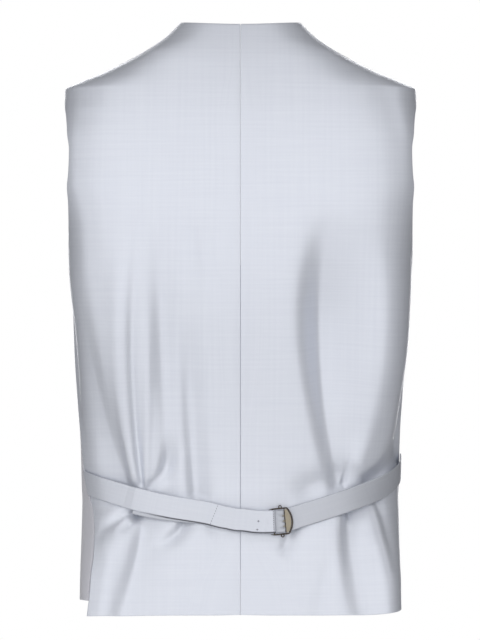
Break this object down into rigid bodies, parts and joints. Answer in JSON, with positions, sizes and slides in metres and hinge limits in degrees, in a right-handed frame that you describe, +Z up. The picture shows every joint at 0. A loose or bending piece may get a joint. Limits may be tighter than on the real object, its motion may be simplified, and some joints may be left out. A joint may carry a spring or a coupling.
{
  "type": "suit waistcoat",
  "caption": "Man's suit waistcoat in its worn hollow shape, with a satin back drawn in by a buckled cinch, a deep V neck and a buttoned front with points.",
  "frame": {"origin": "middle of the neck opening, level with the neck ends of the shoulder seams, where the wearer's shoulders hold the garment", "axes": "+Z up, the buttoned front faces -Y, +X to the wearer's left"},
  "size_m": [0.3462, 0.2525, 0.5992],
  "materials": {
    "satin": "silver lavender satin lining cloth with a soft sheen",
    "suiting": "light grey melange wool suiting, matt",
    "buckle_wire": "dark bronze plated wire",
    "buckle_plate": "champagne plated sheet metal",
    "button": "grey polyester horn, polished"
  },
  "bodies": {
    "root": {"back_left": "satin", "back_right": "satin", "front_left": "suiting", "front_right": "suiting", "strap_left": "satin", "strap_right": "satin", "buckle_frame": "buckle_wire", "buckle_plate": "buckle_plate", "button_1": "button", "button_2": "button", "button_3": "button", "button_4": "button", "button_5": "button"}
  },
  "joints": []
}
